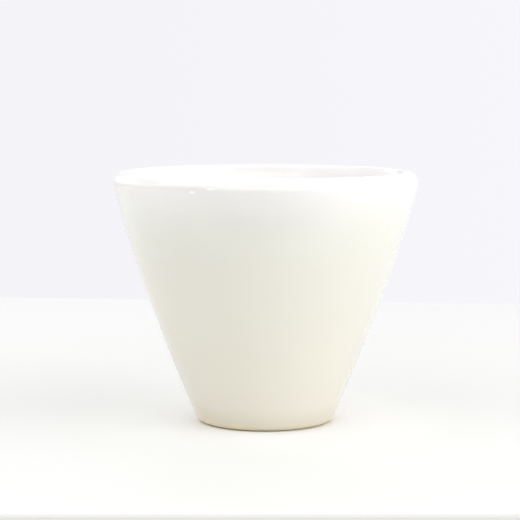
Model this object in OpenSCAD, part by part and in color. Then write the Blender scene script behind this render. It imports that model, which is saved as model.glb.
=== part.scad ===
// Pour-over dripper: a porcelain cone with no flange, and the steel basket filter that lifts out of it.
// Millimetres, +Z up. The origin is the centre of the ring that the cone stands on.

/* [Cone] */
// Height from the foot to the crest of the lip
cone_h = 95.4; // [90:0.1:102]
// Outer diameter across the lip
lip_d = 116; // [112:0.5:122]
// Outer diameter of the flat ring the cone stands on
foot_d = 47.2; // [45:0.1:50]
// Thickness of the wall
wall = 6.4; // [6:0.1:7]
// How far the wall leans out at the lip, in degrees
lip_lean = 14.5; // [13:0.1:16]
// How far the wall leans out at the foot, in degrees
foot_lean = 23.4; // [22:0.1:25]
// Radius of the lip's outer shoulder
lip_round = 4.2; // [3.8:0.1:4.4]
// Radius of the corner at the foot
foot_round = 3.3; // [2.6:0.1:3.6]

/* [Floor and drain] */
// Height of the inside floor, where it meets the wall
floor_z = 9; // [8.5:0.1:9.5]
// Radius between the floor and the wall
floor_fillet = 5; // [3:0.5:6]
// How far the floor falls towards the drain
floor_fall = 0.8; // [0.4:0.1:1.2]
// Diameter of the drain
drain_d = 16; // [12:1:18]
// Depth of the recess inside the foot ring
recess_depth = 2.4; // [2:0.1:2.6]
// Width of the flat foot ring
foot_ring_w = 4.4; // [3.5:0.1:5]

/* [Ribs] */
// Number of ribs inside the cone, an even number
rib_count = 12; // [8:2:16]
// Width of a rib
rib_w = 2.6; // [2:0.1:3.2]
// Height of a rib above the wall, beside the foot of the basket
rib_h = 2; // [1.6:0.1:2.4]

/* [Basket filter] */
// How far the top of the hoop sits below the crest of the lip
hoop_drop = 9.9; // [9:0.1:12]
// Height of the hoop
hoop_h = 5; // [4:0.1:6]
// Height of the base ring
base_ring_h = 4.6; // [3.5:0.1:6]
// Width of the base ring's flange under the base mesh
base_flange_w = 3.6; // [2.5:0.1:5]
// Thickness of the woven mesh
mesh_t = 0.4; // [0.3:0.05:0.5]
// Number of stays up the outside of the mesh
stay_count = 4; // [3:1:6]
// Width of a stay
stay_w = 5; // [3:0.5:7]
// Width of the strap over the mesh's seam
strap_w = 3.6; // [3:0.1:5]

/* [Lift bail] */
// Diameter of the bail's wire
wire_d = 1.8; // [1.6:0.1:2]
// Radius of the bail's arch, at the middle of the wire
arch_r = 48; // [47.6:0.1:48.4]
// Width of a lug
lug_w = 6.4; // [5:0.1:8]

/* [Hidden] */
STAYS = [for (i = [1:stay_count]) str("side_stay_", i)];

$fn = 128;
curve_steps = 32;      // straight pieces along each side of the wall
arc_steps = 12;        // straight pieces in each rounded edge
porcelain = [0.93, 0.92, 0.89];
steel = [0.70, 0.70, 0.69];
mesh_steel = [0.58, 0.58, 0.57];

// ---- The wall's outer line: one quadratic curve between the rounded foot and the rounded lip ----
function uphill(lean) = [sin(lean), cos(lean)];
function outward(lean) = [cos(lean), -sin(lean)];
function arc(centre, radius, from, to) =
    [for (i = [0:arc_steps]) let (a = from + (to - from) * i / arc_steps) centre + radius * [cos(a), sin(a)]];

lip_centre = [lip_d / 2 - lip_round, cone_h - lip_round];
foot_centre = [foot_d / 2, foot_round];
wall_low = foot_centre + foot_round * outward(foot_lean);
wall_high = lip_centre + lip_round * outward(lip_lean);
knee_reach = cross(wall_high - wall_low, uphill(lip_lean)) / cross(uphill(foot_lean), uphill(lip_lean));
wall_knee = wall_low + knee_reach * uphill(foot_lean);

function wall_point(t) = pow(1 - t, 2) * wall_low + 2 * t * (1 - t) * wall_knee + t * t * wall_high;
function wall_lean(t) =
    let (d = (1 - t) * (wall_knee - wall_low) + t * (wall_high - wall_knee)) atan2(d[0], d[1]);
// The point a given depth inside the outer line, and the t at which that point reaches height z.
function inset_point(t, depth) = wall_point(t) - depth * outward(wall_lean(t));
function inset_t(z, depth, low = -0.1, high = 1.1, tries = 30) =
    let (mid = (low + high) / 2)
    tries == 0 ? mid
    : inset_point(mid, depth)[1] < z ? inset_t(z, depth, mid, high, tries - 1)
    : inset_t(z, depth, low, mid, tries - 1);
function inside_r(z) = inset_point(inset_t(z, wall), wall)[0];

// ---- Lip, floor and underside ----
lip_inner_round = (wall - lip_round * (1 + sin(lip_lean))) / (1 - sin(lip_lean));
lip_inner_centre = [lip_centre[0], cone_h - lip_inner_round];
fillet_t = inset_t(floor_z + floor_fillet, wall + floor_fillet);
fillet_centre = inset_point(fillet_t, wall + floor_fillet);
drain_r = drain_d / 2;
drain_round = 1.5;     // radius of the drain's upper edge
collar_w = 2.4;        // width of the drip collar around the drain, under the floor
collar_drop = 1.4;     // how far the drip collar hangs below the floor
foot_ring_r = foot_d / 2 - foot_ring_w;
edge_break = 0.5;      // size of the small bevels on the underside

// ---- The basket: a straight cone that hangs from its hoop ----
fit_gap = 0.3;         // gap between the basket and the porcelain
skin_gap = 0.02;       // gap between sheets that lie on each other
sheet_t = 0.6;         // thickness of the hoop's and base ring's sheet
stay_t = 0.5;
strap_t = 0.3;
stay_out = skin_gap + stay_t;
leg_in = stay_out + 0.03;
leg_out = leg_in + sheet_t;
lap_in = -mesh_t - skin_gap;
lap_out = lap_in - sheet_t;
rib_rest_z = floor_z + 2.4;
basket_low = rib_rest_z + fit_gap;
basket_high = cone_h - hoop_drop;
low_r = inside_r(basket_low + base_ring_h / 2) - rib_h - fit_gap - leg_out;
high_r = inside_r(basket_high) - fit_gap - leg_out;
function mesh_r(z) = low_r + (high_r - low_r) * (z - basket_low) / (basket_high - basket_low);
function beside_mesh(z, reach) = [mesh_r(z) + reach, z];
mesh_low = basket_low + sheet_t + skin_gap;
mesh_high = basket_high - 1.3;

// ---- Ribs: their crest runs beside the basket, and they end where it meets the wall ----
rib_toe_r = 12.5;
rib_high = basket_high - hoop_h - 2;
rib_root = 2.4;        // how deep a rib's root reaches into the wall
function rib_crest(z) = beside_mesh(z, leg_out + fit_gap);

// ---- Bail and lugs ----
wire_r = wire_d / 2;
bail_gap = 0.1;        // gap between the folded bail and the hoop
pivot_z = basket_high + bail_gap + wire_r;
bend_r = 1.8;          // radius of the bend between a pin and the arch, at the middle of the wire
bend_neck = 0.04;      // how much thinner the bend is than the wire
bend_lap = 6;          // degrees that the bend runs on inside the pin and the arch
bend_start = asin(bend_r / (arch_r - bend_r));
bend_centre = (arch_r - bend_r) * [cos(bend_start), sin(bend_start)];
pin_out = bend_centre[0];
lug_t = 1.2;
lug_face_x = pin_out - 0.9;
lug_bore_r = wire_r + 0.05;
head_r = wire_r + 0.5;
head_t = 0.8;
head_gap = 0.2;
ring_reach = 70;       // longer than any part is wide, for cutting slabs

module ring(outline) {
    rotate_extrude() polygon(outline);
}

// A slab along +X from the axis outwards, turned to an angle
module sector_slab(width, turn) {
    rotate([0, 0, turn]) translate([0, -width / 2, -1]) cube([ring_reach, width, cone_h + 20]);
}

module cone_wall() {
    ring(concat(
        [[drain_r, recess_depth - collar_drop], [drain_r + collar_w - edge_break, recess_depth - collar_drop],
         [drain_r + collar_w, recess_depth - collar_drop + edge_break], [drain_r + collar_w, recess_depth],
         [foot_ring_r - recess_depth / 2, recess_depth], [foot_ring_r - edge_break, edge_break],
         [foot_ring_r, 0]],
        arc(foot_centre, foot_round, -90, -foot_lean),
        [for (i = [1:curve_steps - 1]) wall_point(i / curve_steps)],
        arc(lip_centre, lip_round, -lip_lean, 90),
        arc(lip_inner_centre, lip_inner_round, 90, 180 - lip_lean),
        [for (i = [curve_steps:-1:1]) inset_point(fillet_t + (1 - fillet_t) * i / curve_steps, wall)],
        arc(fillet_centre, floor_fillet, -wall_lean(fillet_t), -90),
        arc([drain_r + drain_round, floor_z - floor_fall - drain_round], drain_round, 90, 180)));
}

module ribs() {
    rib_outline = concat(
        [[rib_toe_r, floor_z - 2], [rib_toe_r, rib_rest_z - 1], [rib_toe_r + 1, rib_rest_z],
         rib_crest(rib_rest_z), rib_crest(rib_high), [inside_r(rib_high) + rib_root, rib_high + rib_root]],
        [for (z = [60:-15:15]) [inside_r(z) + rib_root, z]],
        [[inside_r(floor_z) + rib_root, floor_z - 2]]);
    intersection() {
        ring(rib_outline);
        for (i = [0:rib_count - 1]) sector_slab(rib_w, (i + 0.5) * 360 / rib_count);
    }
}

// The glazed porcelain cone, cast in one piece with its ribs, drain and foot ring
module dripper_cone() {
    color(porcelain) union() {
        cone_wall();
        ribs();
    }
}

// The rolled hoop that clamps the top of the mesh and seats in the cone
module rim_hoop() {
    hoop_low = basket_high - hoop_h;
    bead_r = (leg_out - lap_out) / 2;
    bead_centre = beside_mesh(basket_high - bead_r, leg_out - bead_r);
    color(steel) ring(concat(
        [beside_mesh(mesh_high + skin_gap, leg_in), beside_mesh(hoop_low, leg_in), beside_mesh(hoop_low, leg_out)],
        arc(bead_centre, bead_r, 0, 180),
        [beside_mesh(hoop_low, lap_out), beside_mesh(hoop_low, lap_in),
         beside_mesh(mesh_high + skin_gap, lap_in)]));
}

// The woven wall of the basket, as a plain sheet
module side_mesh() {
    color(mesh_steel) ring([beside_mesh(mesh_low, 0), beside_mesh(mesh_high, 0),
        beside_mesh(mesh_high, -mesh_t), beside_mesh(mesh_low, -mesh_t)]);
}

// A strip of sheet up the outside of the mesh
module mesh_strip(width, thickness, turn) {
    intersection() {
        ring([beside_mesh(mesh_low, skin_gap), beside_mesh(mesh_low, skin_gap + thickness),
            beside_mesh(mesh_high, skin_gap + thickness), beside_mesh(mesh_high, skin_gap)]);
        sector_slab(width, turn);
    }
}

// The strap welded over the seam of the rolled mesh, at the back
module seam_strap() {
    color(steel) mesh_strip(strap_w, strap_t, 90);
}

// One of the stays that carry the basket's weight from the hoop to the base ring
module side_stay(index) {
    color(steel) mesh_strip(stay_w, stay_t, (index + 0.5) * 360 / stay_count);
}

// The pressed ring that holds the foot of the mesh and the edge of the base mesh
module base_ring() {
    color(steel) ring([beside_mesh(basket_low, leg_out - edge_break),
        beside_mesh(basket_low + edge_break, leg_out), beside_mesh(basket_low + base_ring_h, leg_out),
        beside_mesh(basket_low + base_ring_h, leg_in), [mesh_r(mesh_low) + leg_in, basket_low + sheet_t],
        [mesh_r(mesh_low) - base_flange_w, basket_low + sheet_t],
        [mesh_r(mesh_low) - base_flange_w, basket_low]]);
}

// The woven floor of the basket, as a plain disc
module base_mesh() {
    color(mesh_steel) translate([0, 0, mesh_low])
        cylinder(r = mesh_r(mesh_low) - mesh_t - skin_gap, h = mesh_t);
}

// A joggled ear welded inside the hoop, with the bore that a bail pin turns in
module bail_lug(turn) {
    ear_low = basket_high - hoop_h + 0.3;
    bend_low = basket_high - 2.3;
    bend_high = basket_high - 0.7;
    ear_r = lug_w / 2;
    weld_reach = lap_out - skin_gap;
    color(steel) rotate([0, 0, turn]) difference() {
        intersection() {
            ring([beside_mesh(ear_low, weld_reach), beside_mesh(bend_low, weld_reach),
                [lug_face_x, bend_high], [lug_face_x, pivot_z + ear_r],
                [lug_face_x - lug_t, pivot_z + ear_r], [lug_face_x - lug_t, bend_high],
                beside_mesh(bend_low, weld_reach - lug_t), beside_mesh(ear_low, weld_reach - lug_t)]);
            union() {
                translate([0, -ear_r, 0]) cube([ring_reach, lug_w, pivot_z]);
                translate([0, 0, pivot_z]) rotate([0, 90, 0]) cylinder(r = ear_r, h = ring_reach);
            }
        }
        translate([lug_face_x - 5, 0, pivot_z]) rotate([0, 90, 0]) cylinder(r = lug_bore_r, h = 10);
    }
}

// A round wire bent through an arc in the plane of the folded bail
module wire_arc(centre, bend, radius, from, to) {
    translate([centre[0], centre[1], pivot_z]) rotate([0, 0, from])
        rotate_extrude(angle = to - from) translate([bend, 0]) circle(r = radius, $fn = 32);
}

// One end of the bail: its pin with an upset head, and the bend, drawn a little thinner, into the arch
module bail_end() {
    head_x = lug_face_x - lug_t - head_gap;
    wire_arc(bend_centre, bend_r, wire_r - bend_neck, -90 - bend_lap, bend_start + bend_lap);
    translate([head_x, 0, pivot_z]) rotate([0, 90, 0]) cylinder(r = wire_r, h = bend_centre[0] - head_x);
    translate([head_x - head_t, 0, pivot_z]) rotate([0, 90, 0]) cylinder(r = head_r, h = head_t);
}

// The wire bail, folded back onto the hoop
module lift_bail() {
    color(steel) union() {
        wire_arc([0, 0], arch_r, wire_r, bend_start, 180 - bend_start);
        bail_end();
        mirror([1, 0, 0]) bail_end();
    }
}

dripper_cone();
rim_hoop();
side_mesh();
seam_strap();
for (i = [0:stay_count - 1]) side_stay(i);
base_ring();
base_mesh();
bail_lug(180);  // bail_lug_left
bail_lug(0);  // bail_lug_right
lift_bail();
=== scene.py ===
import math
import bmesh
import bpy
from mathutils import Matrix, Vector


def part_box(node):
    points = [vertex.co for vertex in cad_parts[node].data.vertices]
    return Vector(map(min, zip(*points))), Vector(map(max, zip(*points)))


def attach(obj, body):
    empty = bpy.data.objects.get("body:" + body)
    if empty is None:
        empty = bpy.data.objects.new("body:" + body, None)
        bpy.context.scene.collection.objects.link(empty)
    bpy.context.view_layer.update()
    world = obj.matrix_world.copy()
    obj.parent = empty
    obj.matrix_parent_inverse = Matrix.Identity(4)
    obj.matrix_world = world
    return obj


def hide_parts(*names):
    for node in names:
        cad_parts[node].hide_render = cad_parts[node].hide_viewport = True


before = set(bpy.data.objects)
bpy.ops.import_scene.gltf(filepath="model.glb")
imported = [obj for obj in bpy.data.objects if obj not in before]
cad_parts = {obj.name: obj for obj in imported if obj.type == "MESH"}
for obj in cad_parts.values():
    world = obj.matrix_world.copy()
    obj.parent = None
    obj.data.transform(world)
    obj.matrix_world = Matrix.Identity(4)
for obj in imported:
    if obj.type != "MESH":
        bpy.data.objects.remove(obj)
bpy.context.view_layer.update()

MM = 0.001

# ---------------------------------------------------------------- dimensions, in millimetres
LIP_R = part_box("dripper_cone")[1].x / MM
CONE_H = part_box("dripper_cone")[1].z / MM
FOOT_R = 23.6
WALL = 6.4
LIP_LEAN = math.radians(14.5)
FOOT_LEAN = math.radians(23.4)
LIP_ROUND = 4.2
FOOT_ROUND = 3.3
FLOOR_Z = 9.0
FLOOR_FILLET = 5.0
FLOOR_FALL = 0.8
DRAIN_R = 8.0
DRAIN_ROUND = 1.5
COLLAR_W = 2.4
COLLAR_DROP = 1.4
RECESS = 2.4
FOOT_RING_W = 4.4
RIB_COUNT = 12
RIB_H = 2.0
RIB_REST_Z = FLOOR_Z + 2.4     # where the basket's foot would touch the ribs
RIB_TOE_R = 12.5

FIT_GAP = 0.3
HAIRLINE = 0.02        # between sheets that lie on each other
SHEET_T = 0.6
MESH_T = 0.4
STAY_T = 0.5
STAY_W = 5.0
STRAP_T = 0.3
STRAP_W = 3.6
STAY_COUNT = 4
HOOP_H = 5.0
BASE_RING_H = 4.6
BASE_FLANGE_W = 3.6
# Reaches from the mesh's outer line: the outer leg of the hoop and base ring, and the hoop's lap.
LEG_IN = STAY_T + 0.05
LEG_OUT = LEG_IN + SHEET_T
LAP_IN = -MESH_T - HAIRLINE
LAP_OUT = LAP_IN - SHEET_T

WIRE_R = 0.9
ARCH_R = 48.0
BEND_R = 1.8
LUG_W = 6.4
LUG_T = 1.2


# ---------------------------------------------------------------- plane curves
def uphill(lean):
    return Vector((math.sin(lean), math.cos(lean)))


def outward(lean):
    return Vector((math.cos(lean), -math.sin(lean)))


def arc(centre, radius, start, end, steps):
    """Points along an arc, in degrees, with both ends."""
    angles = [math.radians(start + (end - start) * i / steps) for i in range(steps + 1)]
    return [centre + radius * Vector((math.cos(a), math.sin(a))) for a in angles]


def line(start, end, steps):
    """Points along a straight stretch, without its ends."""
    return [start.lerp(end, i / steps) for i in range(1, steps)]


def rounded(corners, radii, steps=6):
    """A closed outline whose corners are rounded by the radii given for each."""
    outline = []
    for i, corner in enumerate(corners):
        back = (corners[i - 1] - corner).normalized()
        ahead = (corners[(i + 1) % len(corners)] - corner).normalized()
        half = math.acos(max(-1.0, min(1.0, back.dot(ahead)))) / 2
        if radii[i] <= 0 or half > math.radians(89):
            outline.append(corner)
            continue
        reach = radii[i] / math.tan(half)
        first = corner + back * reach
        last = corner + ahead * reach
        centre = corner + (back + ahead).normalized() * radii[i] / math.sin(half)
        a = math.atan2(first.y - centre.y, first.x - centre.x)
        b = math.atan2(last.y - centre.y, last.x - centre.x)
        turn = (b - a + math.pi) % (2 * math.pi) - math.pi
        outline += arc(centre, radii[i], math.degrees(a), math.degrees(a + turn), steps)
    return outline


# ---------------------------------------------------------------- the cone's wall
lip_centre = Vector((LIP_R - LIP_ROUND, CONE_H - LIP_ROUND))
foot_centre = Vector((FOOT_R, FOOT_ROUND))
wall_low = foot_centre + FOOT_ROUND * outward(FOOT_LEAN)
wall_high = lip_centre + LIP_ROUND * outward(LIP_LEAN)


def cross(a, b):
    return a.x * b.y - a.y * b.x


# The wall is a quadratic curve that sets off at the foot's lean and arrives at the lip's.
foot_way, lip_way = uphill(FOOT_LEAN), uphill(LIP_LEAN)
knee_reach = cross(wall_high - wall_low, lip_way) / cross(foot_way, lip_way)
wall_knee = wall_low + knee_reach * foot_way


def wall_point(t, depth=0.0):
    """The point that lies a depth inside the outer line, at t from the foot, 0, to the lip, 1."""
    point = (1 - t) ** 2 * wall_low + 2 * t * (1 - t) * wall_knee + t * t * wall_high
    return point - depth * outward(wall_lean(t))


def wall_lean(t):
    d = (1 - t) * (wall_knee - wall_low) + t * (wall_high - wall_knee)
    return math.atan2(d.x, d.y)


def wall_t(z, depth):
    """The t at which the line a depth inside the wall reaches height z."""
    low, high = -0.1, 1.1
    for _ in range(40):
        mid = (low + high) / 2
        low, high = (mid, high) if wall_point(mid, depth).y < z else (low, mid)
    return low


def inside_r(z):
    return wall_point(wall_t(z, WALL), WALL).x


# ---------------------------------------------------------------- the basket's slope
BASKET_LOW = RIB_REST_Z + FIT_GAP
BASKET_HIGH = CONE_H - 9.9
LOW_R = inside_r(BASKET_LOW + BASE_RING_H / 2) - RIB_H - FIT_GAP - LEG_OUT
HIGH_R = inside_r(BASKET_HIGH) - FIT_GAP - LEG_OUT
MESH_LOW = BASKET_LOW + SHEET_T + HAIRLINE
MESH_HIGH = BASKET_HIGH - 1.3


def mesh_r(z):
    return LOW_R + (HIGH_R - LOW_R) * (z - BASKET_LOW) / (BASKET_HIGH - BASKET_LOW)


def beside_mesh(z, reach):
    return Vector((mesh_r(z) + reach, z))


# ---------------------------------------------------------------- making meshes
def smooth(x):
    x = max(0.0, min(1.0, x))
    return x * x * (3 - 2 * x)


def make_piece(name, vertices, faces, body, replaced, slot, material):
    """A named mesh, from points in millimetres, that rides on a body and stands for CAD nodes."""
    mesh = bpy.data.meshes.new(name)
    mesh.from_pydata([Vector(v) * MM for v in vertices], [], faces)
    facing = bmesh.new()
    facing.from_mesh(mesh)
    bmesh.ops.recalc_face_normals(facing, faces=facing.faces)
    facing.to_mesh(mesh)
    facing.free()
    for polygon in mesh.polygons:
        polygon.use_smooth = True
    mesh.materials.append(material)
    piece = bpy.data.objects.new(name, mesh)
    bpy.context.scene.collection.objects.link(piece)
    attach(piece, body)
    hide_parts(*replaced)
    return piece


def ring_faces(rings, around, closed=True):
    """Quads between closed rings of equal length, and from the last ring to the first if closed."""
    faces = []
    for i in range(rings if closed else rings - 1):
        j = (i + 1) % rings
        for k in range(around):
            m = (k + 1) % around
            faces.append((i * around + k, i * around + m, j * around + m, j * around + k))
    return faces


def tube_faces(rings, around):
    """Quads between rings of equal length, with a face over each end."""
    ends = [tuple(reversed(range(around))), tuple(range((rings - 1) * around, rings * around))]
    return ring_faces(rings, around, closed=False) + ends


def revolve(outline, around=192):
    """Vertices and faces of a closed outline turned about the axis."""
    vertices = []
    for p in outline:
        for k in range(around):
            a = 2 * math.pi * k / around
            vertices.append((p.x * math.cos(a), p.x * math.sin(a), p.y))
    return vertices, [tuple(reversed(f)) for f in ring_faces(len(outline), around)]


def join(*parts):
    """Joins lists of (vertices, faces) into one."""
    vertices, faces = [], []
    for part_vertices, part_faces in parts:
        start = len(vertices)
        vertices += part_vertices
        faces += [tuple(v + start for v in f) for f in part_faces]
    return vertices, faces


def sweep(path, radii, sides):
    """A round tube along a path, its radius given at each point, closed at both ends."""
    count = len(path)
    vertices = []
    up = Vector((0, 0, 1))
    for i, p in enumerate(path):
        tangent = (path[min(i + 1, count - 1)] - path[max(i - 1, 0)]).normalized()
        side = up.cross(tangent).normalized()
        up = tangent.cross(side).normalized()
        for k in range(sides):
            a = 2 * math.pi * k / sides
            vertices.append(p + radii[i] * (math.cos(a) * side + math.sin(a) * up))
    return vertices, tube_faces(count, sides)


# ---------------------------------------------------------------- materials
# Tones of the glaze by height, as a share of the cone's: the outside, darker and warmer towards
# the foot and lighter near the lip, partly its own tone and partly painted shade and light; painted
# shade over it without clouding; and the inside, lighter than the outside as painted light.
GLAZE_LIGHT_AND_SHADE_TONES = [(0.16, (0.74, 0.65, 0.46)), (0.20, (0.68, 0.635, 0.525)),
               (0.27, (0.688, 0.657, 0.565)), (0.5, (0.720, 0.702, 0.612)),
               (0.8, (0.742, 0.730, 0.648)), (0.85, (0.750, 0.742, 0.662)),
               (0.93, (0.757, 0.760, 0.685)), (0.99, (0.782, 0.782, 0.725)),
               (1.04, (0.818, 0.812, 0.770)), (1.09, (0.832, 0.828, 0.800))]
# Painted shade over the glaze: warm and darker where the foot meets the table, and a darker band at
# the shoulder.
PAINTED_SHADE_TINTS = [(0.0, (1.0, 0.93, 0.80)), (0.018, (0.95, 0.92, 0.87)),
               (0.035, (0.93, 0.925, 0.91)), (0.09, (1.0, 1.0, 1.0)),
               (0.951, (1.0, 1.0, 1.0)), (0.960, (0.935, 0.935, 0.935)),
               (0.974, (0.925, 0.925, 0.925)), (0.983, (1.0, 1.0, 1.0))]
# Painted light: the inside is lighter than the outside at the same height.
INSIDE_PAINTED_LIGHT_TONES = [(0.3, (0.78, 0.765, 0.71)), (1.0, (0.84, 0.835, 0.815))]
CLOUDING = 0.3         # how far the clouding moves the tones, as a share of the height
TONE_SCALE = 0.8       # a ramp ends at 1, and clouded heights go past the lip's
# A painted glint: the beads' colour, plain white.
BEAD_PAINTED_GLINT_WHITE = (0.93, 0.93, 0.92, 1.0)
SCREEN_PITCH = 0.4     # of the basket's fine inner screen, in millimetres
WEAVE_PITCH = 1.7      # of its stout weave


def new_material(name):
    material = bpy.data.materials.new(name)
    material.use_nodes = True
    nodes = material.node_tree.nodes
    return material, nodes, material.node_tree.links, nodes["Principled BSDF"]


def feed(links, value, socket):
    """Sets an input from another node's output, or from a plain number."""
    if isinstance(value, bpy.types.NodeSocket):
        links.new(value, socket)
    else:
        socket.default_value = value


def math_node(nodes, links, operation, *values):
    node = nodes.new("ShaderNodeMath")
    node.operation = operation
    for value, socket in zip(values, node.inputs):
        feed(links, value, socket)
    return node.outputs["Value"]


def mixed(nodes, links, blend, share, first, second):
    """Two colours blended. The share is a node's output or a plain number."""
    node = nodes.new("ShaderNodeMix")
    node.data_type = "RGBA"
    node.blend_type = blend
    feed(links, share, node.inputs["Factor"])
    links.new(first, node.inputs["A"])
    links.new(second, node.inputs["B"])
    return node.outputs["Result"]


def split_vector(nodes, links, vector):
    node = nodes.new("ShaderNodeSeparateXYZ")
    links.new(vector, node.inputs["Vector"])
    return node.outputs


def noise_node(nodes, links, vector, scale, detail, roughness=0.5):
    node = nodes.new("ShaderNodeTexNoise")
    node.inputs["Scale"].default_value = scale
    node.inputs["Detail"].default_value = detail
    node.inputs["Roughness"].default_value = roughness
    links.new(vector, node.inputs["Vector"])
    return node.outputs["Fac"]


def ramp(nodes, links, factor, stops):
    node = nodes.new("ShaderNodeValToRGB")
    elements = node.color_ramp.elements
    while len(elements) < len(stops):
        elements.new(0.5)
    for element, (position, colour) in zip(elements, stops):
        element.position = position
        element.color = (*colour, 1.0)
    links.new(factor, node.inputs["Fac"])
    return node.outputs["Color"]


def bump(nodes, links, height, distance, strength, under=None):
    """A bumped normal, the distance in metres, on top of another one if given."""
    node = nodes.new("ShaderNodeBump")
    node.inputs["Distance"].default_value = distance
    node.inputs["Strength"].default_value = strength
    links.new(height, node.inputs["Height"])
    if under:
        links.new(under, node.inputs["Normal"])
    return node.outputs["Normal"]


def grey(value):
    return (value, value, value)


def glazed_porcelain():
    """Warm white body under a clear gloss glaze, slightly clouded, darker towards the foot partly
    as painted shade, with painted shade at the foot and shoulder and painted light inside.
    """
    material, nodes, links, shader = new_material("glazed_porcelain")
    place = nodes.new("ShaderNodeTexCoord").outputs["Object"]
    share = nodes.new("ShaderNodeMapRange")
    share.inputs["From Max"].default_value = CONE_H * MM
    links.new(split_vector(nodes, links, place)["Z"], share.inputs["Value"])
    height = share.outputs["Result"]
    cloud = noise_node(nodes, links, place, scale=18.0, detail=3.0)
    clouded = math_node(nodes, links, "MULTIPLY_ADD", cloud, CLOUDING, height)
    scaled = math_node(nodes, links, "MULTIPLY", clouded, TONE_SCALE)
    outside, inside = [ramp(nodes, links, scaled, [(at * TONE_SCALE, tone) for at, tone in tones])
                       for tones in (GLAZE_LIGHT_AND_SHADE_TONES, INSIDE_PAINTED_LIGHT_TONES)]
    # Painted shade at the foot and in a band at the shoulder, without clouding.
    shade_tint = ramp(nodes, links, height, PAINTED_SHADE_TINTS)
    outside = mixed(nodes, links, "MULTIPLY", 1.0, outside, shade_tint)
    side = nodes.new("ShaderNodeAttribute")
    side.attribute_name = "inside"
    links.new(mixed(nodes, links, "MIX", side.outputs["Fac"], outside, inside),
              shader.inputs["Base Color"])
    orange_peel = noise_node(nodes, links, place, scale=420.0, detail=2.0)
    slow_wave = noise_node(nodes, links, place, scale=45.0, detail=1.0)
    fine = bump(nodes, links, orange_peel, distance=0.00002, strength=0.25)
    links.new(bump(nodes, links, slow_wave, distance=0.0004, strength=0.25, under=fine),
              shader.inputs["Normal"])
    dull = noise_node(nodes, links, place, scale=60.0, detail=4.0)
    links.new(ramp(nodes, links, dull, [(0.35, grey(0.16)), (0.75, grey(0.22))]),
              shader.inputs["Roughness"])
    shader.inputs["IOR"].default_value = 1.5
    shader.inputs["Coat Weight"].default_value = 0.6
    shader.inputs["Coat Roughness"].default_value = 0.06
    shader.inputs["Subsurface Weight"].default_value = 0.2
    shader.inputs["Subsurface Radius"].default_value = (1.0, 0.85, 0.6)
    shader.inputs["Subsurface Scale"].default_value = 0.004
    return material


def painted_glint_glaze(glaze):
    """The same glaze on a bead, plain white as a painted glint, and without light from below its
    surface.
    """
    material = glaze.copy()
    material.name = "glaze_bead_painted_glint"
    shader = material.node_tree.nodes["Principled BSDF"]
    shader.inputs["Subsurface Weight"].default_value = 0.0
    material.node_tree.links.remove(shader.inputs["Base Color"].links[0])
    shader.inputs["Base Color"].default_value = BEAD_PAINTED_GLINT_WHITE
    return material


def bare_porcelain_and_contact_shade():
    """The foot ring, wiped free of glaze: matt and worn by tables, darker partly by its own tone
    and partly by painted contact shade.
    """
    material, nodes, links, shader = new_material("bare_porcelain_and_contact_shade")
    place = nodes.new("ShaderNodeTexCoord").outputs["Object"]
    stain = noise_node(nodes, links, place, scale=220.0, detail=6.0, roughness=0.65)
    # Dark orange: partly the bare body's tone, partly painted contact shade and warm bounced light.
    links.new(ramp(nodes, links, stain, [(0.3, (0.62, 0.46, 0.26)), (0.7, (0.76, 0.62, 0.40))]),
              shader.inputs["Base Color"])
    grain = noise_node(nodes, links, place, scale=2600.0, detail=4.0)
    links.new(bump(nodes, links, grain, distance=0.0001, strength=0.5), shader.inputs["Normal"])
    links.new(ramp(nodes, links, stain, [(0.2, grey(0.7)), (0.8, grey(0.9))]),
              shader.inputs["Roughness"])
    return material


def steel(name, colour, dull, stretch, grain_height=0.00002):
    """Stainless steel with a grain that runs along the axes where stretch is small."""
    material, nodes, links, shader = new_material(name)
    place = nodes.new("ShaderNodeTexCoord").outputs["Object"]
    mapping = nodes.new("ShaderNodeMapping")
    mapping.inputs["Scale"].default_value = stretch
    links.new(place, mapping.inputs["Vector"])
    grain = noise_node(nodes, links, mapping.outputs["Vector"], scale=900.0, detail=6.0,
                       roughness=0.7)
    wear = noise_node(nodes, links, place, scale=70.0, detail=5.0, roughness=0.6)
    dark = tuple(c * 0.78 for c in colour)
    links.new(ramp(nodes, links, wear, [(0.3, dark), (0.65, colour)]), shader.inputs["Base Color"])
    links.new(ramp(nodes, links, grain, [(0.3, grey(dull * 0.75)), (0.7, grey(dull * 1.35))]),
              shader.inputs["Roughness"])
    links.new(bump(nodes, links, grain, grain_height, strength=0.6), shader.inputs["Normal"])
    shader.inputs["Metallic"].default_value = 1.0
    return material


def cloth_waves(nodes, links, cloth, pitch, operation):
    """The size of a sine or cosine wave along each axis of the cloth."""
    waves = []
    for axis in "XY":
        turn = math_node(nodes, links, "MULTIPLY", cloth[axis], math.pi / pitch)
        wave = math_node(nodes, links, operation, turn)
        waves.append(math_node(nodes, links, "ABSOLUTE", wave))
    return waves


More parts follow.
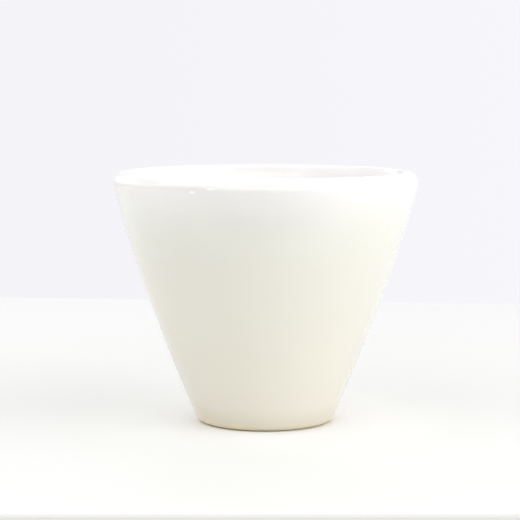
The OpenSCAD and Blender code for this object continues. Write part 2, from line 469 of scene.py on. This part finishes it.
def fine_screen():
    """The basket's inner screen, a weave too fine to model. The stout weave behind it is painted
    on, with painted shade between its wires.
    """
    material, nodes, links, shader = new_material("fine_screen")
    cells = nodes.new("ShaderNodeUVMap")
    cells.uv_map = "weave"
    cloth = split_vector(nodes, links, cells.outputs["UV"])
    hole = math_node(nodes, links, "MULTIPLY",
                     *cloth_waves(nodes, links, cloth, SCREEN_PITCH, "SINE"))
    behind = math_node(nodes, links, "MAXIMUM",
                       *cloth_waves(nodes, links, cloth, WEAVE_PITCH, "COSINE"))
    own = ramp(nodes, links, hole, [(0.35, (0.80, 0.79, 0.77)), (0.8, (0.40, 0.40, 0.39))])
    # Painted shade: darker between the lines of the stout weave behind the screen.
    shade = ramp(nodes, links, behind, [(0.86, grey(0.72)), (0.97, grey(1.0))])
    links.new(mixed(nodes, links, "MULTIPLY", 1.0, own, shade), shader.inputs["Base Color"])
    links.new(ramp(nodes, links, hole, [(0.3, grey(0.3)), (0.8, grey(0.6))]),
              shader.inputs["Roughness"])
    wire = math_node(nodes, links, "SUBTRACT", 1.0, hole)
    fine = bump(nodes, links, wire, distance=0.0001, strength=0.6)
    links.new(bump(nodes, links, behind, distance=0.00015, strength=0.7, under=fine),
              shader.inputs["Normal"])
    shader.inputs["Metallic"].default_value = 1.0
    return material


PORCELAIN = glazed_porcelain()
BARE_AND_CONTACT_SHADE = bare_porcelain_and_contact_shade()
BEAD_PAINTED_GLINT = painted_glint_glaze(PORCELAIN)
SHEET_STEEL = steel("satin_sheet_steel", (0.72, 0.71, 0.69), 0.24, (1.0, 1.0, 12.0))
STRIP_STEEL = steel("brushed_strip_steel", (0.70, 0.69, 0.67), 0.28, (9.0, 9.0, 0.6))
WIRE_STEEL = steel("drawn_wire_steel", (0.76, 0.75, 0.73), 0.16, (2.0, 2.0, 2.0), 0.00001)
WEAVE_STEEL = steel("woven_wire_steel", (0.70, 0.69, 0.67), 0.30, (3.0, 3.0, 3.0))
SCREEN = fine_screen()


# ---------------------------------------------------------------- the porcelain cone
RIB_HIGH = BASKET_HIGH - HOOP_H - 2.0
RIB_FADE = 2.4         # height over which a rib's top dies away
RIB_TOE_FADE = 1.8     # the same for its toe, along the floor
RIB_EDGE = 1.75        # from a rib's middle to the foot of its flank
RIB_FLANK = 1.1
RIB_COLUMNS = [0.4, 0.75, 0.95, 1.15, 1.35, 1.55, 1.75, 2.1]   # distances from a rib's middle
GAP_COLUMNS = 9
SECTOR = 2 * math.pi / RIB_COUNT
# The unglazed band also carries painted contact shade.
GLAZE_LINE = 19.0      # degrees round the foot's corner that stay unglazed
GLAZE_T = 0.08
INSIDE_FADE = 2.0      # width on the lip's crest over which the inside's tone sets in
BEAD_BURY = 0.05
# Each bead's azimuth in degrees, height, half width, half height and thickness.
GLAZE_BEADS = [(-26.6, 90.2, 1.15, 0.7, 0.10), (-19.6, 91.6, 1.5, 0.35, 0.06)]


def columns(radius):
    """Every column's angle on the ring of that radius, as its rib's angle and the turn from it.

    They are close together on the ribs and even between them.
    """
    squeeze = min(1.0, 0.75 * radius * SECTOR / 2 / RIB_COLUMNS[-1])
    steps = [math.asin(min(1.0, squeeze * y / radius)) for y in RIB_COLUMNS]
    gap = SECTOR - 2 * steps[-1]
    turns = [-a for a in reversed(steps)] + [0.0] + steps
    turns += [steps[-1] + gap * i / (GAP_COLUMNS + 1) for i in range(1, GAP_COLUMNS + 1)]
    return [(SECTOR * (i + 0.5), turn) for i in range(RIB_COUNT) for turn in turns]


def rib_depth(point, normal):
    """How far a rib stands from the bare inside at this point, along the normal."""
    slope = (HIGH_R - LOW_R) / (BASKET_HIGH - BASKET_LOW)
    to_crest = (point.x - mesh_r(point.y) - LEG_OUT - FIT_GAP) / (normal.y * slope - normal.x)
    to_rest = (RIB_REST_Z - point.y) / normal.y
    depth = max(0.0, to_crest, to_rest)
    top = smooth((RIB_HIGH + RIB_FADE / 2 - point.y) / RIB_FADE)
    return depth * top * smooth((point.x - RIB_TOE_R) / RIB_TOE_FADE)


def cone_stations():
    """The cone's closed outline: points, each with its rib's depth, inward normal and bareness."""
    recess_r = FOOT_R - FOOT_RING_W
    collar_r = DRAIN_R + COLLAR_W
    collar_z = RECESS - COLLAR_DROP
    floor_low = FLOOR_Z - FLOOR_FALL
    corners = [Vector((DRAIN_R, floor_low - DRAIN_ROUND)), Vector((DRAIN_R, collar_z)),
               Vector((collar_r, collar_z)), Vector((collar_r, RECESS)),
               Vector((recess_r - RECESS / 2, RECESS)), Vector((recess_r, 0)), Vector((FOOT_R, 0))]
    underside = rounded(corners, [0, 0.5, 0.9, 0.8, 1.0, 0.7, 0])
    stations = [(p, 0.0, None, recess_r - 1.0 < p.x and p.y < 0.6) for p in underside[1:-1]]

    corner_steps, wall_steps = 28, 56
    sweep_angle = 90 - math.degrees(FOOT_LEAN)
    for i in range(corner_steps + 1):
        turn = sweep_angle * i / corner_steps
        dip = GLAZE_T * smooth(turn / 6) * smooth((GLAZE_LINE - turn) / 4)
        a = math.radians(turn - 90)
        point = foot_centre + (FOOT_ROUND - dip) * Vector((math.cos(a), math.sin(a)))
        stations.append((point, 0.0, None, turn < GLAZE_LINE - 2))
    stations += [(wall_point(i / wall_steps), 0.0, None, False) for i in range(1, wall_steps)]
    lean = math.degrees(LIP_LEAN)
    stations += [(p, 0.0, None, False) for p in arc(lip_centre, LIP_ROUND, -lean, 90, 24)]
    inner_round = (WALL - LIP_ROUND * (1 + math.sin(LIP_LEAN))) / (1 - math.sin(LIP_LEAN))
    inner_centre = Vector((lip_centre.x, CONE_H - inner_round))
    inner_lip = arc(inner_centre, inner_round, 90, 180 - lean, 14)
    stations += [(p, 0.0, None, False) for p in inner_lip[1:-1]]

    inner_steps, fillet_steps, floor_steps = 92, 16, 28
    fillet_t = wall_t(FLOOR_Z + FLOOR_FILLET, WALL + FLOOR_FILLET)
    inner = []
    for i in range(inner_steps + 1):
        t = 1 + (fillet_t - 1) * i / inner_steps
        inner.append((wall_point(t, WALL), -outward(wall_lean(t))))
    fillet_centre = wall_point(fillet_t, WALL + FLOOR_FILLET)
    for i in range(1, fillet_steps + 1):
        a = -wall_lean(fillet_t) + (wall_lean(fillet_t) - math.pi / 2) * i / fillet_steps
        turned = Vector((math.cos(a), math.sin(a)))
        inner.append((fillet_centre + FLOOR_FILLET * turned, -turned))
    floor_out = inner[-1][0]
    floor_in = Vector((DRAIN_R + DRAIN_ROUND, floor_low))
    fall = (floor_out - floor_in).normalized()
    inner += [(p, Vector((-fall.y, fall.x))) for p in line(floor_out, floor_in, floor_steps)]
    depths = [rib_depth(p, n) for p, n in inner]
    for i, (p, n) in enumerate(inner):
        near = depths[max(0, i - 1):i + 2]
        stations.append((p, sum(near) / len(near), n, False))
    edge_centre = Vector((DRAIN_R + DRAIN_ROUND, floor_low - DRAIN_ROUND))
    stations += [(p, 0.0, None, False) for p in arc(edge_centre, DRAIN_ROUND, 90, 180, 12)]
    return stations


def glaze_bead_painted_glint(azimuth, z, half_width, half_height, thickness, steps=5, sides=18):
    """A pinhead of glaze on the lip's round, which carries a painted glint. Azimuth 0 is the front,
    and positive to the right.
    """
    rise = (z - lip_centre.y) / LIP_ROUND
    out = Vector((math.sqrt(1 - rise * rise), rise))
    point = lip_centre + LIP_ROUND * out
    turn = math.radians(azimuth - 90)
    normal = Vector((out.x * math.cos(turn), out.x * math.sin(turn), out.y))
    across = Vector((-math.sin(turn), math.cos(turn), 0))
    up_wall = normal.cross(across)
    on_wall = Vector((point.x * math.cos(turn), point.x * math.sin(turn), point.y))
    centre = on_wall - BEAD_BURY * normal
    vertices = []
    for i in range(steps):
        up = math.pi / 2 * i / steps
        for k in range(sides):
            a = 2 * math.pi * k / sides
            flat = half_width * math.cos(a) * across + half_height * math.sin(a) * up_wall
            stand = (thickness + BEAD_BURY) * math.sin(up) * normal
            vertices.append(centre + math.cos(up) * flat + stand)
    return vertices, tube_faces(steps, sides)


def make_cone():
    stations = cone_stations()
    around = len(columns(FOOT_R))
    vertices = []
    for point, depth, normal, _ in stations:
        for middle, turn in columns(point.x):
            r, z = point
            if depth:
                across = abs(point.x * math.sin(turn))
                lift = depth * smooth((RIB_EDGE - across) / RIB_FLANK)
                r += lift * normal.x
                z += lift * normal.y
            vertices.append((r * math.cos(middle + turn), r * math.sin(middle + turn), z))
    beads = [glaze_bead_painted_glint(*bead) for bead in GLAZE_BEADS]
    vertices, faces = join((vertices, ring_faces(len(stations), around)), *beads)
    cone = make_piece("porcelain_cone", vertices, faces, "dripper", ["dripper_cone"], "porcelain",
                      PORCELAIN)

    inside = cone.data.attributes.new("inside", "FLOAT", "POINT")
    crest = next(i for i, station in enumerate(stations) if station[0].y > CONE_H - 0.001)
    for i, (point, *_) in enumerate(stations):
        share = smooth((lip_centre.x + 0.5 - point.x) / INSIDE_FADE) if i > crest else 0.0
        for k in range(i * around, (i + 1) * around):
            inside.data[k].value = share

    cone.data.materials.append(BARE_AND_CONTACT_SHADE)
    cone.data.materials.append(BEAD_PAINTED_GLINT)
    for i, (_, _, _, bare) in enumerate(stations):
        if bare:
            for polygon in cone.data.polygons[i * around:(i + 1) * around]:
                polygon.material_index = 1
    # The beads carry the painted glint.
    for polygon in cone.data.polygons[len(stations) * around:]:
        polygon.material_index = 2


# ---------------------------------------------------------------- the basket's sheet parts
EDGE_ROUND = 0.22      # of the sheet's cut edges


def make_rim_hoop():
    low, tuck = BASKET_HIGH - HOOP_H, MESH_HIGH + HAIRLINE
    bead_r = (LEG_OUT - LAP_OUT) / 2
    bead_centre = beside_mesh(BASKET_HIGH - bead_r, LEG_OUT - bead_r)
    bead = arc(bead_centre, bead_r, 0, 180, 24)
    corners = [beside_mesh(tuck, LEG_IN), beside_mesh(low, LEG_IN), beside_mesh(low, LEG_OUT),
               *bead, beside_mesh(low, LAP_OUT), beside_mesh(low, LAP_IN),
               beside_mesh(tuck, LAP_IN)]
    radii = [0.1, EDGE_ROUND, EDGE_ROUND, *([0] * len(bead)), EDGE_ROUND, EDGE_ROUND, 0.1]
    vertices, faces = revolve(rounded(corners, radii))
    make_piece("rolled_hoop", vertices, faces, "filter", ["rim_hoop"], "steel", SHEET_STEEL)


def make_base_ring():
    low, top = BASKET_LOW, BASKET_LOW + BASE_RING_H
    inner = mesh_r(MESH_LOW) - BASE_FLANGE_W
    corners = [beside_mesh(low, LEG_OUT), beside_mesh(top, LEG_OUT), beside_mesh(top, LEG_IN),
               Vector((mesh_r(MESH_LOW) + LEG_IN, low + SHEET_T)), Vector((inner, low + SHEET_T)),
               Vector((inner, low))]
    radii = [1.0, EDGE_ROUND, EDGE_ROUND, 0.5, EDGE_ROUND, EDGE_ROUND]
    vertices, faces = revolve(rounded(corners, radii))
    make_piece("pressed_base_ring", vertices, faces, "filter", ["base_ring"], "steel", SHEET_STEEL)


def weld_dot(turn, z, reach, radius, height, steps=4, sides=20):
    """A small round spot weld that stands out of a strip."""
    centre_r = mesh_r(z) + reach
    vertices = []
    for i in range(steps + 1):
        ring = radius * (1 - i / (steps + 1))
        rise = height * smooth(i / steps) - HAIRLINE
        for k in range(sides):
            a = 2 * math.pi * k / sides
            across, up = ring * math.cos(a), ring * math.sin(a)
            r = centre_r + rise + (mesh_r(z + up) - mesh_r(z))
            a = turn + across / r
            vertices.append((r * math.cos(a), r * math.sin(a), z + up))
    return vertices, tube_faces(steps + 1, sides)


def strip(width, thickness, turn, steps=48):
    """A strip of sheet with rounded edges that lies on the mesh from its foot to its top."""
    low, high = -width / 2, width / 2
    section = rounded([Vector((low, 0)), Vector((high, 0)), Vector((high, thickness)),
                       Vector((low, thickness))], [thickness * 0.3] * 4, 4)
    bent = []
    for i, corner in enumerate(section):
        bent.append(corner)
        ahead = section[(i + 1) % len(section)]
        if abs(ahead.x - corner.x) > width / 2:
            bent += line(corner, ahead, 8)
    vertices = []
    for i in range(steps + 1):
        z = MESH_LOW + (MESH_HIGH - MESH_LOW) * i / steps
        for p in bent:
            a = turn + p.x / mesh_r(z)
            r = mesh_r(z) + HAIRLINE + p.y
            vertices.append((r * math.cos(a), r * math.sin(a), z))
    return vertices, tube_faces(steps + 1, len(bent))


def make_stay(index):
    turn = 2 * math.pi * (index + 0.5) / STAY_COUNT
    dots = [weld_dot(turn, z, HAIRLINE + STAY_T, radius=1.0, height=0.14)
            for z in (24.0, 36.0, 48.0, 60.0, 72.0)]
    vertices, faces = join(strip(STAY_W, STAY_T, turn), *dots)
    make_piece(f"stay_{index + 1}", vertices, faces, "filter", [f"side_stay_{index + 1}"], "steel",
               STRIP_STEEL)


def make_seam_strap():
    turn = math.pi / 2
    dots = [weld_dot(turn, 20.0 + 5.0 * i, HAIRLINE + STRAP_T, radius=0.7, height=0.1)
            for i in range(12)]
    vertices, faces = join(strip(STRAP_W, STRAP_T, turn), *dots)
    make_piece("welded_seam_strap", vertices, faces, "filter", ["seam_strap"], "steel", STRIP_STEEL)


# ---------------------------------------------------------------- the basket's woven wire
WEAVE_R = 0.13
WEAVE_RISE = 0.07
CLOTH_DEPTH = 0.17     # of the weave's middle below the basket's outer line
SCREEN_T = 0.06
SEAM_GAP = 0.2         # half of what the cloth leaves open under the seam strap
SLOPE = math.atan((HIGH_R - LOW_R) / (BASKET_HIGH - BASKET_LOW))
WRAP = math.sin(SLOPE)         # turn of the flat cloth for a turn of the cone


def thread(points, normals, sides=4):
    """A thin wire of the weave."""
    vertices = []
    count = len(points)
    for i, p in enumerate(points):
        tangent = (points[min(i + 1, count - 1)] - points[max(i - 1, 0)]).normalized()
        side = normals[i].cross(tangent).normalized()
        top = tangent.cross(side)
        for k in range(sides):
            a = 2 * math.pi * (k + 0.5) / sides
            vertices.append(p + WEAVE_R * (math.cos(a) * side + math.sin(a) * top))
    return vertices, tube_faces(count, sides)


def weave(half_span, placed):
    """Both sets of wires over a square of flat cloth.

    placed takes a spot of the cloth and its rise, and gives a point and its normal, or None where
    there is no cloth.
    """
    wires = []
    count = int(half_span / WEAVE_PITCH)
    for across in (False, True):
        for i in range(-count, count + 1):
            run = []
            for j in range(-2 * count, 2 * count + 2):
                along = j * WEAVE_PITCH / 2
                rise = WEAVE_RISE * math.cos(math.pi * (j / 2 + i)) * (-1 if across else 1)
                spot = (i * WEAVE_PITCH, along) if across else (along, i * WEAVE_PITCH)
                here = placed(*spot, rise) if j <= 2 * count else None
                if here:
                    run.append(here)
                elif run:
                    if len(run) > 1:
                        wires.append(thread([p for p, _ in run], [n for _, n in run]))
                    run = []
    return join(*wires)


def on_cone(u, v, rise):
    """A spot of flat cloth rolled into the basket's cone, with its seam at the back."""
    slant = math.hypot(u, v)
    turn = math.atan2(u, v)
    r = slant * WRAP
    z = BASKET_LOW + (r - LOW_R) / math.tan(SLOPE)
    if not MESH_LOW + 0.1 < z < MESH_HIGH - 0.1 or abs(turn) > math.pi * WRAP - SEAM_GAP / slant:
        return None
    a = turn / WRAP - math.pi / 2
    level = math.cos(SLOPE)
    normal = Vector((math.cos(a) * level, math.sin(a) * level, -math.sin(SLOPE)))
    return Vector((r * math.cos(a), r * math.sin(a), z)) + (rise - CLOTH_DEPTH) * normal, normal


def on_floor(u, v, rise):
    """A spot of the basket's flat woven floor."""
    if math.hypot(u, v) > mesh_r(MESH_LOW) - MESH_T - 0.1:
        return None
    return Vector((u, v, MESH_LOW + MESH_T / 2 + rise)), Vector((0, 0, 1))


def weave_map(piece, spot):
    """A UV map in millimetres of cloth, for the fine weave."""
    layer = piece.data.uv_layers.new(name="weave")
    for polygon in piece.data.polygons:
        middle = polygon.center / MM
        for index in polygon.loop_indices:
            corner = piece.data.vertices[piece.data.loops[index].vertex_index].co / MM
            layer.data[index].uv = spot(corner, middle)


def flat_of_cone(corner, middle):
    """Where a corner lies on the flat cloth, on the same side of the seam as its face's middle."""
    a = math.atan2(corner.x, -corner.y)
    if abs(a) > 3.0 and a * middle.x < 0:
        a -= math.copysign(2 * math.pi, a)
    slant = math.hypot(corner.x, corner.y) / WRAP
    return slant * math.sin(a * WRAP), slant * math.cos(a * WRAP)


def make_cloth(name, node, wires, outline, around, spot):
    """One of the basket's mesh nodes: its stout weave, and the fine screen inside it."""
    make_piece(f"{name}_weave", *wires, "filter", [node], "steel_mesh", WEAVE_STEEL)
    screen = make_piece(f"{name}_screen", *revolve(outline, around), "filter", [node], "steel_mesh",
                        SCREEN)
    weave_map(screen, spot)


def make_side_mesh():
    outer, inner = SCREEN_T - MESH_T, -MESH_T
    outline = [beside_mesh(MESH_LOW, outer), beside_mesh(MESH_HIGH, outer),
               beside_mesh(MESH_HIGH, inner), beside_mesh(MESH_LOW, inner)]
    make_cloth("side", "side_mesh", weave(HIGH_R / WRAP + 2, on_cone), outline, 192, flat_of_cone)


def make_base_mesh():
    radius, pinhole = mesh_r(MESH_LOW) - MESH_T - 0.05, 0.2
    top = MESH_LOW + MESH_T
    outline = [Vector((radius, top - SCREEN_T)), Vector((radius, top)), Vector((pinhole, top)),
               Vector((pinhole, top - SCREEN_T))]
    make_cloth("base", "base_mesh", weave(mesh_r(MESH_LOW), on_floor), outline, 96,
               lambda corner, middle: (corner.x, corner.y))


# ---------------------------------------------------------------- lugs and bail
PIVOT_Z = BASKET_HIGH + 0.1 + WIRE_R
BEND_START = math.asin(BEND_R / (ARCH_R - BEND_R))
BEND_CENTRE = (ARCH_R - BEND_R) * Vector((math.cos(BEND_START), math.sin(BEND_START)))
LUG_FACE_X = BEND_CENTRE.x - 0.9
BORE_R = WIRE_R + 0.05
# The upset head at each end of the bail: the distance from the pin's end, and the radius.
UPSET_HEAD = [(-0.8, 0.45), (-0.78, 0.85), (-0.7, 1.15), (-0.55, 1.34), (-0.4, 1.4), (-0.2, 1.4),
              (-0.08, 1.34), (0.0, 1.2), (0.0, WIRE_R)]


def bend(start, corner, end, t):
    """The point at t on the quadratic curve that turns a corner."""
    return ((1 - t) ** 2) * start + 2 * t * (1 - t) * corner + t * t * end


def lug_neck():
    """The middle line of a lug, from its weld on the hoop, over two bends, to its head."""
    weld_reach = LAP_OUT - HAIRLINE - LUG_T / 2
    head_x = LUG_FACE_X - LUG_T / 2
    foot = beside_mesh(BASKET_HIGH - HOOP_H + 0.3, weld_reach)
    low = beside_mesh(BASKET_HIGH - 2.3, weld_reach)
    high = Vector((head_x, BASKET_HIGH - 0.7))
    head = Vector((head_x, PIVOT_Z - LUG_W / 2 + 0.01))
    middle = low.lerp(high, 0.5)
    path = [foot.lerp(low, i / 6) for i in range(6)]
    path += [bend(low.lerp(foot, 0.25), low, middle, i / 8) for i in range(9)]
    path.sort(key=lambda p: p.y)
    return path + [bend(middle, high, head, i / 8) for i in range(1, 9)]


def make_lug(name, node, side):
    """A joggled sheet ear: a neck that follows the hoop, and a round head with the bail's bore."""
    half = LUG_W / 2
    path = lug_neck()
    head_x = LUG_FACE_X - LUG_T / 2
    sheet = bmesh.new()
    count = 48
    rim, hole = [], []
    for k in range(count):
        a = 2 * math.pi * (k + 0.5) / count
        c, s = math.cos(a), math.sin(a)
        reach = half if s > 0 else half / max(abs(c), abs(s))
        rim.append(sheet.verts.new((head_x, reach * c, PIVOT_Z + reach * s)))
        hole.append(sheet.verts.new((head_x, BORE_R * c, PIVOT_Z + BORE_R * s)))
    between = [[sheet.verts.new(hole[k].co.lerp(rim[k].co, t)) for k in range(count)]
               for t in (0.3, 0.65)]
    loops = [hole, *between, rim]
    for inner, outer in zip(loops, loops[1:]):
        for k in range(count):
            m = (k + 1) % count
            sheet.faces.new((inner[k], inner[m], outer[m], outer[k]))
    above = sorted((v for v in rim if v.co.z < PIVOT_Z - half + 0.01), key=lambda v: v.co.y)
    for p in reversed(path[:-1]):
        row = [sheet.verts.new((p.x, v.co.y, p.y)) for v in above]
        for k in range(len(row) - 1):
            sheet.faces.new((above[k], above[k + 1], row[k + 1], row[k]))
        above = row
    for vert in sheet.verts:
        vert.co.x *= side
    vertices = [v.co.copy() for v in sheet.verts]
    sheet.verts.index_update()
    faces = [tuple(v.index for v in f.verts) for f in sheet.faces]
    sheet.free()
    lug = make_piece(name, vertices, faces, "filter", [node], "steel", SHEET_STEEL)
    thick = lug.modifiers.new("thickness", "SOLIDIFY")
    thick.thickness = LUG_T * MM
    thick.offset = 0.0
    edge = lug.modifiers.new("edges", "BEVEL")
    edge.width = 0.12 * MM
    edge.segments = 3
    edge.limit_method = "ANGLE"


def make_bail():
    """Polished wire: an upset head, the pin in the lug, a bend, the arch, and the same again."""
    head_end = LUG_FACE_X - LUG_T - 0.2
    start = math.degrees(BEND_START)
    half = [(Vector((head_end + x + 0.0001 * radius, 0)), radius) for x, radius in UPSET_HEAD]
    pin = [Vector((head_end + (BEND_CENTRE.x - head_end) * i / 6, 0)) for i in range(1, 6)]
    arch = arc(Vector((0, 0)), ARCH_R, start, 90, 72)
    half += [(p, WIRE_R) for p in pin + arc(BEND_CENTRE, BEND_R, -90, start, 14) + arch[1:]]
    other = [(Vector((-p.x, p.y)), radius) for p, radius in reversed(half[:-1])]
    path = [Vector((p.x, p.y, PIVOT_Z)) for p, _ in half + other]
    vertices, faces = sweep(path, [radius for _, radius in half + other], 24)
    make_piece("wire_bail", vertices, faces, "bail", ["lift_bail"], "steel_wire", WIRE_STEEL)


make_cone()
make_rim_hoop()
make_base_ring()
for stay_index in range(STAY_COUNT):
    make_stay(stay_index)
make_seam_strap()
make_side_mesh()
make_base_mesh()
make_lug("lug_left", "bail_lug_left", -1)
make_lug("lug_right", "bail_lug_right", 1)
make_bail()


# ---------------------------------------------------------------- camera, floor and light
VIEW_DISTANCE = 6.865 * CONE_H * MM
VIEW_HEIGHT = 1.336 * CONE_H * MM
VIEW_LEFT = 0.0208 * CONE_H * MM
VIEW_PITCH = 0.1005            # radians below the horizon
LENS = 119.4

camera = bpy.data.objects.new("camera", bpy.data.cameras.new("camera"))
bpy.context.scene.collection.objects.link(camera)
camera.data.sensor_width = 36.0
camera.data.lens = LENS
camera.data.clip_start = 0.05
camera.data.clip_end = 20.0
camera.location = (-VIEW_LEFT, -VIEW_DISTANCE, VIEW_HEIGHT)
camera.rotation_euler = (math.pi / 2 - VIEW_PITCH, 0, 0)
bpy.context.scene.camera = camera

# The table, in metres. Its top lies a hair under the cone's foot.
TABLE_W = 3.0
TABLE_T = 0.06
TABLE_NEAR = -0.147
TABLE_FAR = 0.372
TABLE_SKEW = 0.095             # how much nearer the far edge comes for each metre to the right
TABLE_TOP = -0.0001
# Painted light on the top: much lighter close round the cone's foot, over the shade it throws, and
# a little lighter far out.
TOP_TONES_WITH_PAINTED_LIGHT = [(0.035, (0.850, 0.857, 0.842)), (0.055, (0.820, 0.825, 0.802)),
             (0.085, (0.773, 0.777, 0.750)), (0.14, (0.757, 0.760, 0.730)),
             (0.3, (0.769, 0.773, 0.750))]
# Painted shade: the table's sides are darker than its top.
SIDE_PAINTED_SHADE_TONES = [(0.0, (0.70, 0.695, 0.65)), (0.5, (0.71, 0.705, 0.66))]


def laminate(name, tones):
    """Pale laminate, its tone by the distance from the middle in metres, slightly clouded. The
    tones hold painted light on the top and painted shade on the sides.
    """
    material, nodes, links, shader = new_material(name)
    place = nodes.new("ShaderNodeTexCoord").outputs["Object"]
    reach = nodes.new("ShaderNodeVectorMath")
    reach.operation = "LENGTH"
    links.new(place, reach.inputs[0])
    cloud = noise_node(nodes, links, place, scale=3.0, detail=3.0)
    clouded = math_node(nodes, links, "MULTIPLY_ADD", cloud, 0.02, reach.outputs["Value"])
    links.new(ramp(nodes, links, clouded, tones), shader.inputs["Base Color"])
    shader.inputs["Roughness"].default_value = 0.55
    shader.inputs["Specular IOR Level"].default_value = 0.3
    return material


def make_table():
    """A white table with softly rounded edges, its far edge a little out of square."""
    slab = bmesh.new()
    bmesh.ops.create_cube(slab, size=1.0)
    for vert in slab.verts:
        x = vert.co.x * TABLE_W
        y = TABLE_FAR - TABLE_SKEW * x if vert.co.y > 0 else TABLE_NEAR
        vert.co = Vector((x, y, TABLE_TOP - TABLE_T / 2 + vert.co.z * TABLE_T))
    mesh = bpy.data.meshes.new("table")
    slab.to_mesh(mesh)
    slab.free()
    mesh.materials.append(laminate("white_laminate", TOP_TONES_WITH_PAINTED_LIGHT))
    mesh.materials.append(laminate("table_side_painted_shade", SIDE_PAINTED_SHADE_TONES))
    for polygon in mesh.polygons:
        # The sides and underside take the darker tones as painted shade.
        polygon.material_index = int(polygon.normal.z < 0.5)
    table = bpy.data.objects.new("table", mesh)
    bpy.context.scene.collection.objects.link(table)
    edge = table.modifiers.new("edges", "BEVEL")
    edge.width = 0.002
    edge.segments = 4


LIGHT_DISTANCE = 1.5
LIGHT_AIM = Vector((0, 0, 0.05))
# Name, azimuth, elevation, size in metres, watts, and whether gloss mirrors it. Azimuth 0 is
# behind the camera, and positive is to the right.
SOFT_BOXES = [("front_low", 0, 20, (2.0, 0.6), 6.2, True),
              ("front_high", 0, 45, (1.8, 1.2), 1.8, True),
              ("left_high", -60, 45, (1.8, 1.2), 8.2, True),
              ("left_behind", -120, 18, (2.0, 0.6), 2.9, True),
              ("right_low", 60, 18, (2.0, 0.6), 3.6, True),
              ("right_window", 57, 24, (0.3, 1.2), 2.0, True),
              ("right_high", 60, 45, (1.8, 1.2), 5.2, False),
              ("behind_high", 180, 45, (1.8, 1.2), 3.4, True)]


def soft_box(name, azimuth, elevation, size, watts, in_gloss):
    """A soft light aimed at the object."""
    turn, rise = math.radians(azimuth), math.radians(elevation)
    towards = Vector((math.sin(turn) * math.cos(rise), -math.cos(turn) * math.cos(rise),
                      math.sin(rise)))
    lamp = bpy.data.lights.new(name, "AREA")
    lamp.shape = "RECTANGLE"
    lamp.size, lamp.size_y = size
    lamp.energy = watts
    holder = bpy.data.objects.new(name, lamp)
    bpy.context.scene.collection.objects.link(holder)
    holder.location = LIGHT_AIM + LIGHT_DISTANCE * towards
    holder.rotation_euler = (-towards).to_track_quat("-Z", "Y").to_euler()
    holder.visible_glossy = in_gloss


ROOM_COLOUR = (0.955, 0.950, 0.990, 1.0)
ROOM_LEVEL = 0.96
ROOM_SLOPE = 0.09              # how much brighter the room is to the right than straight ahead
# Changes in the parts of the room that the camera doesn't see: the axis, where the change starts
# and is complete, and its strength.
ROOM_CHANGES = [("Y", -0.2, -0.9, -0.52), ("X", 0.3, 0.9, 0.50), ("Z", 0.2, 0.9, -0.30)]


def studio_world():
    """A pale room, darker behind the camera and overhead, and brighter to the right."""
    world = bpy.data.worlds.new("studio")
    world.use_nodes = True
    nodes, links = world.node_tree.nodes, world.node_tree.links
    room = nodes["Background"]
    room.inputs["Color"].default_value = ROOM_COLOUR
    way = split_vector(nodes, links, nodes.new("ShaderNodeTexCoord").outputs["Generated"])
    level = math_node(nodes, links, "MULTIPLY_ADD", way["X"], ROOM_SLOPE, ROOM_LEVEL)
    for axis, start, end, gain in ROOM_CHANGES:
        change = nodes.new("ShaderNodeMapRange")
        change.interpolation_type = "SMOOTHSTEP"
        change.inputs["From Min"].default_value = start
        change.inputs["From Max"].default_value = end
        change.inputs["To Max"].default_value = gain
        links.new(way[axis], change.inputs["Value"])
        level = math_node(nodes, links, "ADD", level, change.outputs["Result"])
    links.new(level, room.inputs["Strength"])
    bpy.context.scene.world = world


make_table()
for box in SOFT_BOXES:
    soft_box(*box)
studio_world()

settings = bpy.context.scene.view_settings
settings.view_transform = "Standard"
settings.look = "None"
settings.exposure = 0.0
settings.gamma = 1.0
